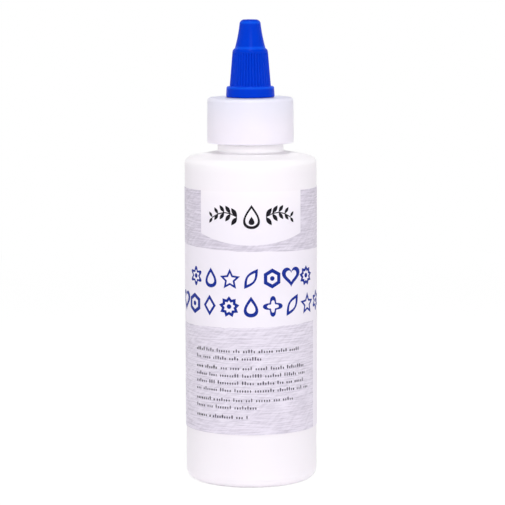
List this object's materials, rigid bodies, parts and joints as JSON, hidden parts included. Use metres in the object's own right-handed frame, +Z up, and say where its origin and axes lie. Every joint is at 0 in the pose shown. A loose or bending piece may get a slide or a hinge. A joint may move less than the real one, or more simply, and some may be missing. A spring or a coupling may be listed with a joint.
{
  "type": "glue applicator bottle",
  "caption": "Round squeeze bottle of white glue with a wrap label, a screw closure with spout and sealing pin, and a ribbed conical nozzle that twists up to open.",
  "frame": {"origin": "centre of the surface that the bottle stands on, on the bottle's axis", "axes": "+Z up along the bottle's axis, the front of the label faces -Y"},
  "size_m": [0.0424, 0.0423, 0.1472],
  "materials": {
    "bottle_plastic": "milky, slightly translucent, satin",
    "label_film": "printed film, brushed grey and white",
    "glue": "thick white liquid",
    "closure_plastic": "milky, slightly translucent, satin",
    "liner_foam": "closed-cell foam",
    "nozzle_plastic": "satin royal blue"
  },
  "bodies": {
    "bottle": {"bottle": "bottle_plastic", "wrap_label": "label_film", "glue_fill": "glue"},
    "liner": {"closure_liner": "liner_foam"},
    "closure": {"closure": "closure_plastic"},
    "nozzle_charge": {"nozzle_glue": "glue"},
    "nozzle": {"twist_nozzle": "nozzle_plastic"}
  },
  "joints": [
    {"name": "closure_rise", "type": "slide", "parent": "bottle", "child": "liner", "axis": [0, 0, 1], "range_m": [0, 0.00476]},
    {"name": "closure_turn", "type": "hinge", "parent": "liner", "child": "closure", "pos_m": [0, 0, 0.115], "axis": [0, 0, 1], "range_deg": [0, 540]},
    {"name": "nozzle_rise", "type": "slide", "parent": "closure", "child": "nozzle_charge", "axis": [0, 0, 1], "range_m": [0, 0.003]},
    {"name": "nozzle_turn", "type": "hinge", "parent": "nozzle_charge", "child": "nozzle", "pos_m": [0, 0, 0.128], "axis": [0, 0, 1], "range_deg": [0, 180]}
  ],
  "couplings": [
    {"joint": "closure_turn", "follows": "closure_rise", "rad_per_m": 1979},
    {"joint": "nozzle_turn", "follows": "nozzle_rise", "rad_per_m": 1047.2}
  ]
}
